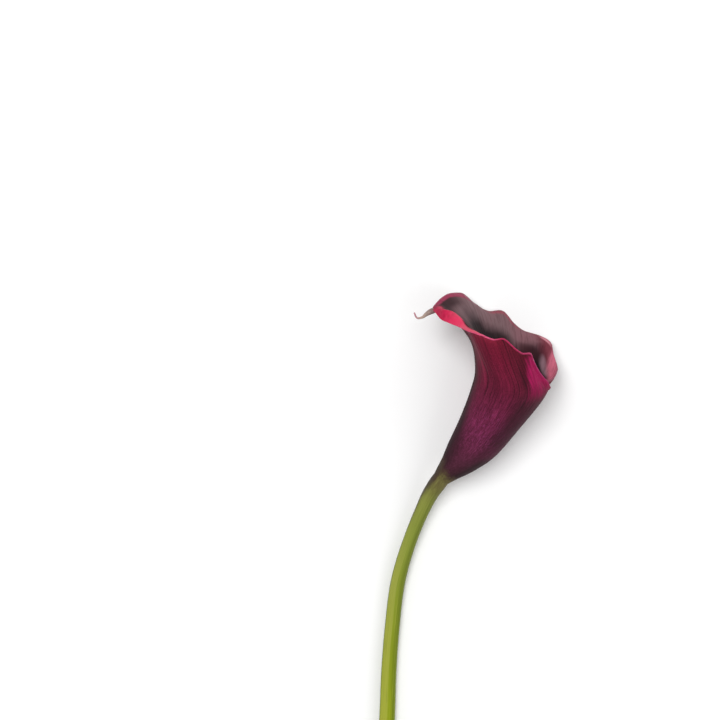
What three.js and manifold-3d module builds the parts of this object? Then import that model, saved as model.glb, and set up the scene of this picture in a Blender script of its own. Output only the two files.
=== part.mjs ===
// One cut calla lily, laid on its side: a dark purple spathe rolled into a funnel round its spadix,
// on a smooth green stem. Millimetres, +Z up from the surface it lies on. +Y runs from the cut end
// of the stem towards the bloom, +X towards the open front of the funnel, and the tip of the spathe
// curls back towards -X. The far margin of the funnel and the lower stem touch the surface.
import * as THREE from 'three';
import { mergeVertices } from 'three/addons/utils/BufferGeometryUtils.js';
import Module from 'manifold-3d';

const wasm = await Module();
wasm.setup();

// Driving dimensions. The working origin is on the surface, under the foot of the spathe.

const RISE_DEG = 12.8; // how far the bloom's axis climbs from the surface
const FOOT_HEIGHT = 12.6; // height of the foot of the spathe over the surface
const FOOT_RADIUS = 4.35; // the stem's end and the spathe's foot
const JOINT_GAP = 0.3; // between the stem's end face and what grows from it

const SPATHE_THICK = 1.2; // at the foot and in the tube
const MARGIN_THICK = 0.7; // at every free edge
const LAYER_STEP = 1.75; // from one layer to the next where the margins overlap
const SPATHE_COLUMNS = 72;
const SPATHE_ROWS = 25;

const SPADIX_LENGTH = 38;
const SPADIX_FOOT_RADIUS = 2.1;
const SPADIX_RADIUS = 3.1;
const SPADIX_TOP_RADIUS = 2.6;
const SPADIX_TIP_SHARE = 0.1; // of the length, rounded off
const SPADIX_END_RADIUS = 0.5; // of the small flat at the very end
const FLORET_HEIGHT = 0.42;
const FLORETS_AROUND = 10;
const FLORET_ROW_STEP = 1.2;

const STEM_SIDES = 20;
const STEM_RINGS = 44;
const CUT_SLANT_DEG = 22;

const TAIL_SIDES = 10;
const TAIL_STEPS = 24;

const rad = THREE.MathUtils.degToRad;
const mix = THREE.MathUtils.lerp;
const smooth = THREE.MathUtils.smoothstep;
const at = (x, y, z) => new THREE.Vector3(x, y, z);

// Tube of the spathe, from the foot to the throat: each section's back and front points seen from
// above, half its depth, and the height of its middle.

const SECTIONS = [
  { back: [-3.55, 2.5], front: [3.55, -2.5], depth: FOOT_RADIUS, height: FOOT_HEIGHT },
  { back: [-1.6, 6.1], front: [8.3, 0.8], depth: 5.7, height: 13.5 },
  { back: [0.9, 11.2], front: [17.0, 5.4], depth: 8.4, height: 14.9 },
  { back: [4.0, 18.8], front: [27.3, 12.8], depth: 11.4, height: 17.4 },
  { back: [9.5, 30.8], front: [38.9, 26.4], depth: 14.0, height: 20.8 },
  { back: [14.8, 45.3], front: [49.0, 38.8], depth: 16.2, height: 24.0 },
  { back: [16.9, 56.4], front: [52.6, 44.6], depth: 17.8, height: 26.4 },
];

// Free edge of the spathe, and the crest that it rolls over: [degrees from the midrib, x, y, z].
// The far margin, below zero, lies on the surface, and the near one faces up from it.

const EDGE = [
  [-202, 48.2, 47.6, 35.5],
  [-190, 51.2, 48.6, 32.3],
  [-180, 54.6, 50.0, 27.8],
  [-171, 57.3, 52.3, 22.8],
  [-160, 58.6, 56.2, 16.6],
  [-146, 56.9, 63.4, 10],
  [-136, 56.0, 68.5, 5.4],
  [-131, 54.2, 70.3, 3.8],
  [-124, 50.2, 72.3, 1.9],
  [-113, 43.2, 74.6, 0.3],
  [-98, 37.5, 78.7, 0.1],
  [-84, 32.0, 84.8, 0.2],
  [-68, 24.0, 84.8, 2.8],
  [-52, 17.0, 88.5, 8],
  [-37, 11.1, 93.4, 12],
  [-24, 5.9, 93.5, 17],
  [-14, 2.0, 92.3, 21.5],
  [-6, -1.5, 89.5, 26],
  [0, -4.3, 85.8, 30],
  [6, -2.9, 83.5, 33],
  [14, -0.5, 80.4, 36.5],
  [26, 3.0, 78.6, 40],
  [42, 8.5, 76.3, 44],
  [56, 12.9, 74.2, 47],
  [72, 18.9, 72.5, 50],
  [90, 25.9, 70.1, 52],
  [104, 30.5, 70.3, 53],
  [117, 34.9, 66.8, 52],
  [129, 39.5, 63.4, 50.5],
  [140, 44.2, 63.0, 49],
  [147, 45.3, 60.4, 46],
  [163, 49.5, 53.2, 38.2],
  [172, 53.0, 49.3, 33.0],
  [181, 54.5, 46.7, 27.4],
  [192, 54.0, 46.1, 22.5],
  [205, 52.5, 46.6, 18.4],
];
const CREST = [
  [-202, 48.6, 46.3, 34.8],
  [-190, 51.0, 46.9, 31.6],
  [-180, 53.6, 47.9, 27.3],
  [-171, 55.7, 49.8, 22.7],
  [-160, 56.7, 53.0, 17.7],
  [-146, 54.6, 60.0, 11.6],
  [-136, 53.2, 65.3, 7.2],
  [-131, 51.9, 66.9, 5.7],
  [-124, 48.5, 69.0, 3.7],
  [-113, 42.6, 71.0, 1.2],
  [-98, 37.4, 74.6, 0.3],
  [-84, 32.3, 80.4, 0.4],
  [-68, 25.4, 80.8, 3.8],
  [-52, 19.2, 84.6, 8.6],
  [-37, 14.0, 89.0, 12.8],
  [-24, 9.4, 89.8, 17.5],
  [-14, 5.7, 88.9, 21.8],
  [-6, 2.7, 87.1, 26.0],
  [0, 1.2, 85.8, 29.3],
  [6, 0.9, 85.0, 32.3],
  [14, 2.1, 84.6, 35.6],
  [26, 5.7, 83.6, 39],
  [42, 10.3, 79.8, 43],
  [56, 14.2, 75.4, 46],
  [72, 19.3, 71.7, 48.7],
  [90, 26.3, 68.6, 50.3],
  [104, 30.8, 68.4, 51.2],
  [117, 35.1, 65.0, 50.2],
  [129, 39.3, 61.6, 48.6],
  [140, 43.2, 60.6, 47],
  [147, 44.6, 58.3, 44.4],
  [163, 49.0, 51.3, 37.2],
  [172, 52.5, 47.7, 32.3],
  [181, 54.0, 45.8, 27.1],
  [192, 53.6, 45.7, 22.5],
  [205, 52.2, 46.5, 18.6],
];

// How far round the leaf goes, in degrees on either side of the midrib, at each section from the
// foot to the margin: the margins just miss in the foot, and the near one overlaps the far one
// from there up to the mouth.
const FAR_SPAN = [[0, 177], [1, 177], [2, 187], [4, 197], [6, 198], [7, 196], [8, 194], [9, 190]];
const NEAR_SPAN = [[0, 177], [1, 177], [2, 189], [4, 202], [6, 203], [7, 201], [8, 196], [9, 190]];

// How far the back of the flare is drawn in towards the axis, halfway from the throat to its crest.
const FLARE_TUCK = at(5.3, 0.4, -1.5);

// The thread that the tip is drawn out into, its root buried in the leaf: [row, x, y, z, radius].
const TAIL = [
  [0, 1.6, 84.9, 29.4, 0.2],
  [1, -1.4, 85.1, 29.6, 0.9],
  [2, -4.6, 84.4, 30.0, 1.45],
  [3, -7.2, 83.0, 30.6, 1.1],
  [4, -9.4, 81.3, 31.2, 0.66],
  [5, -12.1, 81.0, 31.8, 0.46],
  [6, -13.6, 83.8, 32.0, 0.4],
];

// Middle line of the stem from its cut end: [x, y, radius, height of its underside].
const STEM_LINE = [
  [-29.1, -203, 4.1, 0],
  [-28.8, -172, 4.1, 0],
  [-28.0, -142, 4.05, 0],
  [-26.8, -120, 3.95, 0],
  [-25.9, -96.5, 3.85, 0],
  [-24.3, -75.5, 3.75, 0],
  [-20.9, -50, 3.65, 0.7],
  [-14.9, -30, 3.5, 2.3],
  [-9.2, -16, 3.65, 4.1],
  [-5.0, -7.4, 4.05, 5.7],
];

// Value at v on a smooth curve through rows of [v, ...values], as an array.
function throughRows(rows, v) {
  let i = 0;
  while (i < rows.length - 2 && v > rows[i + 1][0]) i++;
  const [a, b] = [rows[i], rows[i + 1]];
  const before = rows[i - 1];
  const after = rows[i + 2];
  const h = b[0] - a[0];
  const t = (v - a[0]) / h;
  const slope = (p, q, r, k) => {
    const left = (q[k] - p[k]) / (q[0] - p[0]);
    const right = (r[k] - q[k]) / (r[0] - q[0]);
    return (left * (r[0] - q[0]) + right * (q[0] - p[0])) / (r[0] - p[0]);
  };
  return a.slice(1).map((_, n) => {
    const k = n + 1;
    const straight = (b[k] - a[k]) / h;
    const m0 = before ? slope(before, a, b, k) : straight;
    const m1 = after ? slope(a, b, after, k) : straight;
    const t2 = t * t;
    const t3 = t2 * t;
    return (
      (2 * t3 - 3 * t2 + 1) * a[k] +
      (t3 - 2 * t2 + t) * h * m0 +
      (3 * t2 - 2 * t3) * b[k] +
      (t3 - t2) * h * m1
    );
  });
}

// Unit vectors of a tube section: along the axis, and up from the surface square to it.
function sectionFrame({ back, front }) {
  const across = at(front[0] - back[0], front[1] - back[1], 0).normalize();
  const rise = rad(RISE_DEG);
  const along = at(-across.y * Math.cos(rise), across.x * Math.cos(rise), Math.sin(rise));
  const up = at(across.y * Math.sin(rise), -across.x * Math.sin(rise), Math.cos(rise));
  return { across, along, up };
}

function sectionMiddle({ back, front, height }) {
  return at((back[0] + front[0]) / 2, (back[1] + front[1]) / 2, height);
}

// Point of a section at an angle from the midrib, moved outwards by swell.
function onSection(section, degrees, swell) {
  const { across, up } = sectionFrame(section);
  const { back, front, depth } = section;
  const half = Math.hypot(front[0] - back[0], front[1] - back[1]) / 2;
  const a = rad(degrees);
  return sectionMiddle(section)
    .addScaledVector(across, -Math.cos(a) * (half + swell))
    .addScaledVector(up, Math.sin(a) * (depth + swell));
}

// Middle surface of the leaf: turn runs from the far margin (-1) over the midrib to the near one
// (1), and place counts the sections from the foot to the margin.
function leafPoint(turn, place) {
  const v = turn * throughRows(turn < 0 ? FAR_SPAN : NEAR_SPAN, place)[0];
  const layer = (LAYER_STEP * v) / 360;
  const points = SECTIONS.map((s, n) => onSection(s, v, (n ? layer : 0) - SPATHE_THICK / 2));
  const crest = at(...throughRows(CREST, v));
  const flare = points.at(-1).clone().lerp(crest, 0.5);
  flare.addScaledVector(FLARE_TUCK, 1 - smooth(Math.abs(v), 0, 70));
  points.push(flare, crest, at(...throughRows(EDGE, v)));
  const rows = points.map((p, i) => [i, p.x, p.y, p.z]);
  return at(...throughRows(rows, place));
}

const leafThick = (place) => mix(SPATHE_THICK, MARGIN_THICK, smooth(place, 3, 8.5));

// Solid between two grids of points with the same rows and columns, closed all round.
function sheetSolid(outer, inner) {
  const rows = outer.length;
  const columns = outer[0].length;
  const points = [...outer.flat(), ...inner.flat()];
  const o = (r, c) => r * columns + c;
  const n = (r, c) => rows * columns + o(r, c);
  const faces = [];
  const quad = (a, b, c, d) => faces.push(a, b, c, a, c, d);
  for (let r = 0; r < rows - 1; r++) {
    for (let c = 0; c < columns - 1; c++) {
      quad(o(r, c), o(r, c + 1), o(r + 1, c + 1), o(r + 1, c));
      faces.push(n(r, c), n(r + 1, c + 1), n(r, c + 1), n(r, c), n(r + 1, c), n(r + 1, c + 1));
    }
    quad(o(r, 0), o(r + 1, 0), n(r + 1, 0), n(r, 0));
    quad(o(r + 1, columns - 1), o(r, columns - 1), n(r, columns - 1), n(r + 1, columns - 1));
  }
  for (let c = 0; c < columns - 1; c++) {
    quad(o(0, c + 1), o(0, c), n(0, c), n(0, c + 1));
    quad(o(rows - 1, c), o(rows - 1, c + 1), n(rows - 1, c + 1), n(rows - 1, c));
  }
  return indexed(points, faces);
}

function indexed(points, faces) {
  const geometry = new THREE.BufferGeometry();
  geometry.setAttribute(
    'position',
    new THREE.Float32BufferAttribute(points.flatMap((p) => [p.x, p.y, p.z]), 3),
  );
  geometry.setIndex(faces);
  return geometry;
}

// Closed tube through rings of points, with a flat cap at each end.
function ringSolid(rings) {
  const sides = rings[0].length;
  const points = rings.flat();
  const middle = (ring) => ring.reduce((s, p) => s.add(p), at(0, 0, 0)).divideScalar(sides);
  points.push(middle(rings[0]), middle(rings.at(-1)));
  const first = rings.length * sides;
  const faces = [];
  for (let i = 0; i < sides; i++) {
    const j = (i + 1) % sides;
    for (let r = 0; r < rings.length - 1; r++) {
      const [a, b] = [r * sides, (r + 1) * sides];
      faces.push(a + i, b + j, a + j, a + i, b + i, b + j);
    }
    const last = (rings.length - 1) * sides;
    faces.push(first, i, j, first + 1, last + j, last + i);
  }
  return indexed(points, faces);
}

// Ring of points square to a direction, with one flat side down.
function ringAt(middle, along, radius, sides, relief = () => 0, slant = 0) {
  const side = at(0, 0, 1).cross(along).negate().normalize();
  const up = side.clone().cross(along).normalize();
  return Array.from({ length: sides }, (_, i) => {
    const a = ((i + 0.5) / sides) * 2 * Math.PI;
    const r = radius + relief(i);
    return middle
      .clone()
      .addScaledVector(side, r * Math.sin(a))
      .addScaledVector(up, -r * Math.cos(a))
      .addScaledVector(along, r * Math.sin(a) * slant);
  });
}

function toSolid(geometry) {
  const merged = mergeVertices(geometry, 1e-4);
  return new wasm.Manifold(
    new wasm.Mesh({
      numProp: 3,
      vertProperties: merged.attributes.position.array,
      triVerts: new Uint32Array(merged.index.array),
    }),
  );
}

function toGeometry(solid) {
  const made = solid.getMesh();
  const geometry = new THREE.BufferGeometry();
  geometry.setAttribute('position', new THREE.BufferAttribute(made.vertProperties, 3));
  geometry.setIndex(new THREE.BufferAttribute(made.triVerts, 1));
  return geometry;
}

// The leaf: a grid from the far margin round the midrib to the near one, given its thickness.
function leafGeometry() {
  const turns = Array.from({ length: SPATHE_COLUMNS }, (_, c) => (2 * c) / (SPATHE_COLUMNS - 1) - 1);
  const midrib = turns.findIndex((t) => t > 0);
  turns[midrib] = 0; // one column follows the midrib to the tip
  const top = SECTIONS.length + 2;
  const step = 0.02;
  const outer = [];
  const inner = [];
  for (let r = 0; r < SPATHE_ROWS; r++) {
    const place = (r / (SPATHE_ROWS - 1)) * top;
    const [below, above] = [Math.max(place - step, 0), Math.min(place + step, top)];
    outer.push([]);
    inner.push([]);
    for (const t of turns) {
      const [before, after] = [Math.max(t - step, -1), Math.min(t + step, 1)];
      const round = leafPoint(after, place).sub(leafPoint(before, place));
      const up = leafPoint(t, above).sub(leafPoint(t, below));
      const normal = round.cross(up);
      if (r === 0) normal.projectOnPlane(sectionFrame(SECTIONS[0]).along); // a flat end face
      normal.normalize().multiplyScalar(leafThick(place) / 2);
      const p = leafPoint(t, place);
      outer[r].push(p.clone().add(normal));
      inner[r].push(p.clone().sub(normal));
    }
  }
  // The far margin is pressed flat where it would go below the surface.
  const press = (p, least) => (p.z = Math.max(p.z, least));
  outer.flat().forEach((p) => press(p, 0));
  inner.flat().forEach((p) => press(p, MARGIN_THICK));
  return sheetSolid(outer, inner);
}

function tailGeometry() {
  const last = TAIL.at(-1)[0];
  const point = (row) => at(...throughRows(TAIL, THREE.MathUtils.clamp(row, 0, last)));
  const rings = Array.from({ length: TAIL_STEPS + 1 }, (_, i) => {
    const row = (i / TAIL_STEPS) * last;
    const along = point(row + 0.05).sub(point(row - 0.05)).normalize();
    const radius = throughRows(TAIL, row)[3];
    return ringAt(point(row), along, radius, TAIL_SIDES);
  });
  return ringSolid(rings);
}

function spatheGeometry() {
  return toGeometry(toSolid(leafGeometry()).add(toSolid(tailGeometry())));
}

// The spadix: a blunt spike along the middle of the tube, its florets raised in alternate rows.
function spadixGeometry() {
  const axis = new THREE.CatmullRomCurve3(SECTIONS.map(sectionMiddle), false, 'centripetal');
  const reach = SPADIX_LENGTH / axis.getLength();
  const rows = Math.round(SPADIX_LENGTH / FLORET_ROW_STEP);
  const outline = [
    [0, SPADIX_FOOT_RADIUS],
    [0.3, SPADIX_RADIUS],
    [0.6, SPADIX_RADIUS],
    [1, SPADIX_TOP_RADIUS],
  ];
  const rings = Array.from({ length: rows + 1 }, (_, i) => {
    const share = i / rows;
    const intoTip = Math.max(0, 1 - (1 - share) / SPADIX_TIP_SHARE);
    const rounding = Math.sqrt(1 - intoTip ** 2);
    const radius = Math.max(SPADIX_END_RADIUS, throughRows(outline, share)[0] * rounding);
    const height = i ? FLORET_HEIGHT * Math.max(0.3, rounding) : 0;
    const relief = (side) => ((side + i) % 2 ? 0 : height);
    const along = i ? axis.getTangentAt(share * reach) : sectionFrame(SECTIONS[0]).along;
    return ringAt(axis.getPointAt(share * reach), along, radius, 2 * FLORETS_AROUND, relief);
  });
  return ringSolid(rings);
}

function stemGeometry() {
  const lowest = Math.cos(Math.PI / STEM_SIDES); // of a side's middle, over the radius
  const foot = SECTIONS[0];
  const { along: footAlong } = sectionFrame(foot);
  const end = sectionMiddle(foot).addScaledVector(footAlong, -JOINT_GAP);
  const line = [...STEM_LINE, [end.x, end.y, FOOT_RADIUS, end.z - FOOT_RADIUS * lowest]];
  let length = 0;
  const rows = line.map((row, i) => {
    if (i) length += Math.hypot(row[0] - line[i - 1][0], row[1] - line[i - 1][1]);
    return [length, ...row];
  });
  const pointAt = (d) => {
    const [x, y, radius, under] = throughRows(rows, THREE.MathUtils.clamp(d, 0, length));
    return at(x, y, radius * lowest + Math.max(0, under));
  };
  const rings = Array.from({ length: STEM_RINGS }, (_, i) => {
    const d = (i / (STEM_RINGS - 1)) * length;
    const last = i === STEM_RINGS - 1;
    const along = last ? footAlong : pointAt(d + 1).sub(pointAt(d - 1)).normalize();
    const slant = i ? 0 : Math.tan(rad(CUT_SLANT_DEG));
    return ringAt(pointAt(d), along, throughRows(rows, d)[2], STEM_SIDES, undefined, slant);
  });
  return ringSolid(rings);
}

const flower = new THREE.Group();

function addPiece(name, geometry, look) {
  const mesh = new THREE.Mesh(geometry, new THREE.MeshStandardMaterial(look));
  mesh.name = name;
  flower.add(mesh);
}

const stemLook = { color: '#7f9433', roughness: 0.45, metalness: 0 };
const spatheLook = { color: '#5a1836', roughness: 0.5, metalness: 0 };
const spadixLook = { color: '#a8706a', roughness: 0.8, metalness: 0 };

addPiece('stem', stemGeometry(), stemLook);
addPiece('spathe', spatheGeometry(), spatheLook);
addPiece('spadix', spadixGeometry(), spadixLook);

// The origin is on the surface, under the middle of the whole flower's outline.
const outline = new THREE.Box3().setFromObject(flower);
const middle = outline.getCenter(new THREE.Vector3());
flower.children.forEach((piece) => piece.geometry.translate(-middle.x, -middle.y, -outline.min.z));

export default flower;
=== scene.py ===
import math

import bpy
import numpy as np
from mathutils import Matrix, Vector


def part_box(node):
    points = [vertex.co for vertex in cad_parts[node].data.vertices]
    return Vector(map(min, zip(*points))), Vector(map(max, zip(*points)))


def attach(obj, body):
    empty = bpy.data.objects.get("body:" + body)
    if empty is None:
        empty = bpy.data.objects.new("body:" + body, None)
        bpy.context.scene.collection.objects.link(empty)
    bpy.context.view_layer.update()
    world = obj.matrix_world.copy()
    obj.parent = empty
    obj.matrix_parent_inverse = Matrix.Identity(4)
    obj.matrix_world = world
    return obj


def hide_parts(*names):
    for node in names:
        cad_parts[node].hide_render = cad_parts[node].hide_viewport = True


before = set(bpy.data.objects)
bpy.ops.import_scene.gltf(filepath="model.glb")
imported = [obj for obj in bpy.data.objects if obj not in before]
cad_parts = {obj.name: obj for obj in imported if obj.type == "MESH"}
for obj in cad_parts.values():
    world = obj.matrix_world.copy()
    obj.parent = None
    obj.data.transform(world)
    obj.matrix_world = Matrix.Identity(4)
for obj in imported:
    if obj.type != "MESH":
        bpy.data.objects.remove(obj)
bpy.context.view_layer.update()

# One cut calla lily on a pale floor, seen from straight above.
# Shapes are worked out in millimetres from the foot of the spathe, then moved to their place.

mm = 0.001
# lowest corner of the stem from the working origin, and that origin's place in the frame
stemCorner = np.array([-33.165, -204.598, 0.0])
footPlace = np.array(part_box("stem")[0]) / mm - stemCorner
print("frame loaded")


# curves and surfaces


def curveBetween(t, start, startSlope, end, endSlope):
    # smooth curve from start (t = 0) to end (t = 1)
    return (
        (2 * t**3 - 3 * t**2 + 1) * start
        + (t**3 - 2 * t**2 + t) * startSlope
        + (3 * t**2 - 2 * t**3) * end
        + (t**3 - t**2) * endSlope
    )


def throughRows(rows, values):
    # smooth curve through rows of [v, ...], read at every value
    table = np.asarray(rows, float)
    knots, points = table[:, 0], table[:, 1:]
    gaps = np.diff(knots)[:, None]
    straight = np.diff(points, axis=0) / gaps
    middle = (straight[:-1] * gaps[1:] + straight[1:] * gaps[:-1]) / (gaps[1:] + gaps[:-1])
    slopes = np.vstack([straight[:1], middle, straight[-1:]])
    values = np.atleast_1d(np.asarray(values, float))
    i = np.clip(np.searchsorted(knots[1:], values), 0, len(knots) - 2)
    h = gaps[i]
    t = (values - knots[i])[:, None] / h
    return curveBetween(t, points[i], h * slopes[i], points[i + 1], h * slopes[i + 1])


def blendIn(values, low, high):
    t = np.clip((np.asarray(values, float) - low) / (high - low), 0, 1)
    return t * t * (3 - 2 * t)


def unit(vectors):
    return vectors / np.linalg.norm(vectors, axis=-1, keepdims=True)


def wave(value):
    # sine of numbers or of a shader's wire
    return value.maths("SINE", value) if isinstance(value, Wire) else np.sin(value)


def waves(rows, across, along):
    # sum of waves, each with its height, its pace across and along, and its start
    return sum(height * wave(a * across + b * along + start) for height, a, b, start in rows)


# working with objects


def pick(piece):
    bpy.ops.object.select_all(action="DESELECT")
    piece.select_set(True)
    bpy.context.view_layer.objects.active = piece


def smooth(piece):
    pick(piece)
    bpy.ops.object.shade_smooth()


def readPoints(piece):
    points = np.empty(len(piece.data.vertices) * 3)
    piece.data.vertices.foreach_get("co", points)
    return points.reshape(-1, 3)


def movePoints(piece, points):
    piece.data.vertices.foreach_set("co", np.ascontiguousarray(points).ravel())
    piece.data.update()


def addGrid(name, columns, rows):
    # flat grid with its own map, and each point's two shares from 0 to 1
    bpy.ops.object.select_all(action="DESELECT")
    bpy.ops.mesh.primitive_grid_add(x_subdivisions=columns, y_subdivisions=rows, size=2)
    piece = bpy.context.active_object
    piece.name = name
    piece.data.name = name
    shares = readPoints(piece)[:, :2] / 2 + 0.5
    return piece, shares


def toFrame(points):
    return (points + footPlace) * mm


def cover(piece, *materials):
    for material in materials:
        piece.data.materials.append(material)


def stand(piece, node):
    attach(piece, "root")
    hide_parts(node)


# shader maths


def tint(code):
    # colour code to the linear colour that a shader takes
    parts = [int(code[i : i + 2], 16) / 255 for i in (1, 3, 5)]
    linear = [c / 12.92 if c <= 0.04045 else ((c + 0.055) / 1.055) ** 2.4 for c in parts]
    return (*linear, 1.0)


class Wire:
    # a socket that ordinary sums can be written with

    def __init__(self, paint, socket):
        self.paint = paint
        self.socket = socket

    def maths(self, operation, *values):
        sockets = dict(enumerate(values))
        return self.paint.add("ShaderNodeMath", {"operation": operation}, sockets)

    def __add__(self, other):
        return self.maths("ADD", self, other)

    def __radd__(self, other):
        return self.maths("ADD", other, self)

    def __sub__(self, other):
        return self.maths("SUBTRACT", self, other)

    def __rsub__(self, other):
        return self.maths("SUBTRACT", other, self)

    def __mul__(self, other):
        return self.maths("MULTIPLY", self, other)

    def __rmul__(self, other):
        return self.maths("MULTIPLY", other, self)

    def __truediv__(self, other):
        return self.maths("DIVIDE", self, other)

    def __pow__(self, other):
        return self.maths("POWER", self, other)

    def __abs__(self):
        return self.maths("ABSOLUTE", self)


class Paint:
    # one material and the nodes in it

    def __init__(self, name, shaderValues):
        self.material = bpy.data.materials.new(name)
        self.material.use_nodes = True
        self.tree = self.material.node_tree
        self.shader = self.tree.nodes["Principled BSDF"]
        for key, value in shaderValues.items():
            self.shader.inputs[key].default_value = value

    def add(self, kind, settings=None, sockets=None, out=0):
        node = self.tree.nodes.new(kind)
        for key, value in (settings or {}).items():
            if key == "stops":
                while len(node.color_ramp.elements) < len(value):
                    node.color_ramp.elements.new(0.5)
                for element, (place, colour) in zip(node.color_ramp.elements, value):
                    element.position = place
                    element.color = tint(colour)
            else:
                setattr(node, key, value)
        for key, value in (sockets or {}).items():
            if isinstance(value, Wire):
                self.tree.links.new(value.socket, node.inputs[key])
            else:
                node.inputs[key].default_value = value
        return Wire(self, node.outputs[out])

    def feed(self, key, wire):
        self.tree.links.new(wire.socket, self.shader.inputs[key])

    def split(self, vector):
        node = self.add("ShaderNodeSeparateXYZ", sockets={0: vector}).socket.node
        return [Wire(self, socket) for socket in node.outputs]

    def ownMap(self, name):
        # the two shares that a piece's own map holds
        u, v, _ = self.split(self.add("ShaderNodeUVMap", {"uv_map": name}))
        return u, v

    def vector(self, operation, first, second, out="Vector"):
        settings = {"operation": operation}
        return self.add("ShaderNodeVectorMath", settings, {0: first, 1: second}, out)

    def dot(self, first, second):
        return self.vector("DOT_PRODUCT", first, tuple(second), out="Value")

    def point(self, x, y, z=0.0):
        return self.add("ShaderNodeCombineXYZ", sockets={0: x, 1: y, 2: z})

    def place(self):
        # millimetres from the working origin
        where = self.add("ShaderNodeTexCoord", out="Object")
        settings = {"operation": "MULTIPLY_ADD"}
        scale = {0: where, 1: (1 / mm,) * 3, 2: tuple(-footPlace)}
        return self.add("ShaderNodeVectorMath", settings, scale)

    def rise(self, value, low, high, start=0.0, end=1.0):
        # smooth change from start, where value is low, to end, where it is high
        sockets = {0: value, 1: low, 2: high, 3: start, 4: end}
        return self.add("ShaderNodeMapRange", {"interpolation_type": "SMOOTHSTEP"}, sockets)

    def fall(self, value, low, high):
        return self.rise(value, low, high, 1.0, 0.0)

    def band(self, value, low, full, ebb, high):
        # rises from low to full, and falls from ebb to high
        return self.rise(value, low, full) * self.fall(value, ebb, high)

    def spot(self, x, y, middle, size):
        # soft round patch
        px, py = (x - middle[0]) / size[0], (y - middle[1]) / size[1]
        return self.fall(px * px + py * py, 0.0, 1.0)

    def noise(self, vector, scale, detail, roughness=0.5):
        sockets = {"Vector": vector, "Scale": scale, "Detail": detail, "Roughness": roughness}
        return self.add("ShaderNodeTexNoise", sockets=sockets)

    def ramp(self, value, stops):
        return self.add("ShaderNodeValToRGB", {"stops": stops}, {0: value})

    def mix(self, share, first, second):
        # 6 and 7 are the node's colour inputs, 2 is its colour output
        first = tint(first) if isinstance(first, str) else first
        second = tint(second) if isinstance(second, str) else second
        sockets = {0: share, 6: first, 7: second}
        return self.add("ShaderNodeMix", {"data_type": "RGBA"}, sockets, out=2)

    def bump(self, height, distance, strength):
        sockets = {"Height": height, "Distance": distance, "Strength": strength}
        return self.add("ShaderNodeBump", sockets=sockets)


# camera, light and floor

view = {
    "middle": (-40.5, 60.0),  # under the centre of the picture, from the working origin
    "cameraHeight": 2000.0,
    "frameWidth": 360.0,  # width of the picture at the height below
    "scaleHeight": 25.0,
    "farthest": 20.0,  # metres that the camera can see
}
# lamps in metres and watts
lights = {
    "key": {"place": (-0.5, 0.7, 2.5), "size": 1.3, "power": 37.0, "gloss": 0.5},
    "fill": {"place": (1.1, -0.5, 1.5), "size": 1.2, "power": 6.0, "gloss": 0.6},
    "side": {"place": (1.25, 1.05, 0.5), "size": 0.9, "power": 2.0, "gloss": 1.0},
}
studio = {
    "aim": (0.0, 0.08, 0.02),  # what the lamps point at
    "wallLow": 0.95,  # brightness of the walls at the level of the floor
    "wallHigh": 0.38,  # and high up, from wallTop on
    "wallTop": 0.8,  # share of the way up
    "floorSize": 8.0,
    "floor": ("#fdfdfd", "#ffffff"),
}

seat = toFrame(np.array([*view["middle"], view["cameraHeight"]]))
bpy.ops.object.camera_add(location=seat, rotation=(0, 0, 0))
camera = bpy.context.active_object
distance = view["cameraHeight"] - view["scaleHeight"]
camera.data.lens = camera.data.sensor_width * distance / view["frameWidth"]
camera.data.clip_end = view["farthest"]
bpy.context.scene.camera = camera

for name, plan in lights.items():
    bpy.ops.object.light_add(type="AREA", location=plan["place"])
    lamp = bpy.context.active_object
    lamp.name = name + "Light"
    lamp.data.size = plan["size"]
    lamp.data.energy = plan["power"]
    lamp.data.specular_factor = plan["gloss"]
    away = np.array(plan["place"]) - np.array(studio["aim"])
    level = math.hypot(away[0], away[1])
    lamp.rotation_euler = (math.atan2(level, away[2]), 0, math.atan2(away[0], -away[1]))

# white studio walls that fade a little towards the ceiling
world = bpy.data.worlds.new("studio")
world.use_nodes = True
links, nodes = world.node_tree.links, world.node_tree.nodes
direction = nodes.new("ShaderNodeTexCoord")
height = nodes.new("ShaderNodeSeparateXYZ")
fade = nodes.new("ShaderNodeMapRange")
fadeValues = (0.0, studio["wallTop"], studio["wallLow"], studio["wallHigh"])
for key, value in enumerate(fadeValues, start=1):
    fade.inputs[key].default_value = value
links.new(direction.outputs["Generated"], height.inputs[0])
links.new(height.outputs["Z"], fade.inputs[0])
links.new(fade.outputs[0], nodes["Background"].inputs["Strength"])
nodes["Background"].inputs["Color"].default_value = (1, 1, 1, 1)
bpy.context.scene.world = world
bpy.context.scene.view_settings.view_transform = "Standard"

bpy.ops.object.select_all(action="DESELECT")
bpy.ops.mesh.primitive_plane_add(size=studio["floorSize"], location=(0, 0, 0))
floor = bpy.context.active_object
floor.name = "floor"
floorPaint = Paint("floorPaint", {"Roughness": 0.9})
grain = floorPaint.noise(floorPaint.place(), 0.02, 1.0)
floorPaint.feed("Base Color", floorPaint.mix(grain, *studio["floor"]))
cover(floor, floorPaint.material)
print("camera, lights and floor are up")


# spathe

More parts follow.
